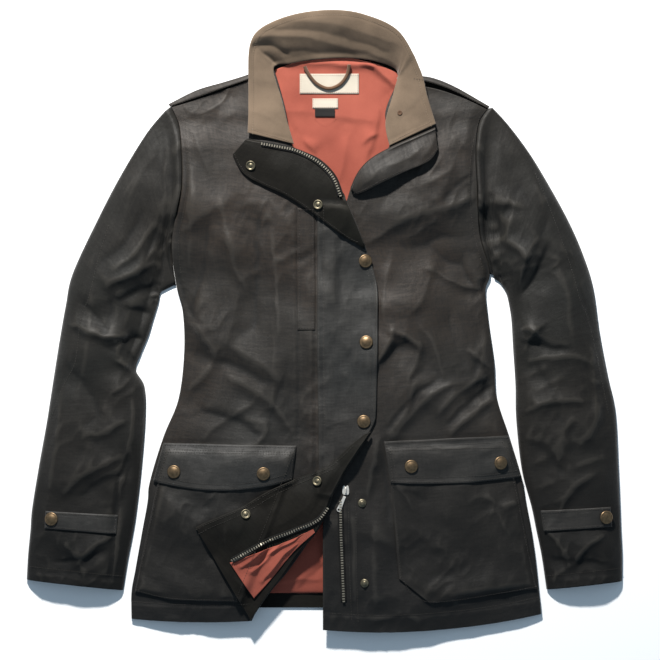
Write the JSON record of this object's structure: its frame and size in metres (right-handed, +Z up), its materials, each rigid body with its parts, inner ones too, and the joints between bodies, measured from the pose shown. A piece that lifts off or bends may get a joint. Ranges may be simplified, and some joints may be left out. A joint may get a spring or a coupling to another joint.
{
  "type": "waxed cotton jacket",
  "caption": "Waxed cotton field jacket laid flat, front up, collar open, zip part undone with lapels and one lower corner turned back, storm flap snapped, bellows pockets.",
  "frame": {"origin": "centre of the bounding box in plan, on the table under the back panel", "axes": "+Z up off the table, +Y towards the collar, +X towards the wearer's left sleeve"},
  "size_m": [0.7465, 0.777, 0.0433],
  "materials": {
    "waxed_cotton": "matt with a waxed sheen",
    "facing_cloth": "matt",
    "collar_cloth": "brushed",
    "lining_cloth": "plain woven",
    "loop_cloth": "matt",
    "label_cloth": "matt",
    "label_black": "matt",
    "zip_tape": "matt",
    "snap_bronze": "antique",
    "snap_brass": "satin",
    "slider_nickel": "bright"
  },
  "bodies": {
    "jacket": {"back_panel": "waxed_cotton", "lining_neck": "lining_cloth", "lining_hem": "lining_cloth", "front_left": "waxed_cotton", "front_right": "waxed_cotton", "sleeve_right": "waxed_cotton", "sleeve_left": "waxed_cotton", "yoke_right": "waxed_cotton", "yoke_left": "waxed_cotton", "collar": "collar_cloth", "pocket_right": "waxed_cotton", "pocket_left": "waxed_cotton", "pocket_flap_right": "waxed_cotton", "pocket_flap_left": "waxed_cotton", "chest_welt": "waxed_cotton", "storm_flap": "waxed_cotton", "lapel_right": "facing_cloth", "lapel_left": "facing_cloth", "turned_corner": "facing_cloth", "lining_front": "lining_cloth", "label_main": "label_cloth", "label_small": "label_cloth", "label_tab": "label_black", "hanger_loop": "loop_cloth", "cuff_tab_right": "waxed_cotton", "cuff_tab_left": "waxed_cotton", "zip_run_lapel": "zip_tape", "zip_run_corner": "zip_tape", "zip_run_front": "zip_tape", "cap_flap_1": "snap_bronze", "cap_flap_2": "snap_bronze", "cap_flap_3": "snap_bronze", "cap_pocket_1": "snap_bronze", "cap_pocket_2": "snap_bronze", "cap_pocket_3": "snap_bronze", "cap_pocket_4": "snap_bronze", "cap_cuff_1": "snap_bronze", "cap_cuff_2": "snap_bronze", "socket_1": "snap_brass", "socket_2": "snap_brass", "socket_3": "snap_brass", "socket_4": "snap_brass", "stud_1": "snap_brass", "stud_2": "snap_brass", "zip_slider": "slider_nickel"},
    "pull_tab": {"zip_pull": "slider_nickel"}
  },
  "joints": [
    {"name": "pull_tab_swing", "type": "hinge", "parent": "jacket", "child": "pull_tab", "pos_m": [0.0252, -0.2174, 0.0262], "axis": [-0.9146, 0.4043, 0], "range_deg": [0, 95]}
  ]
}
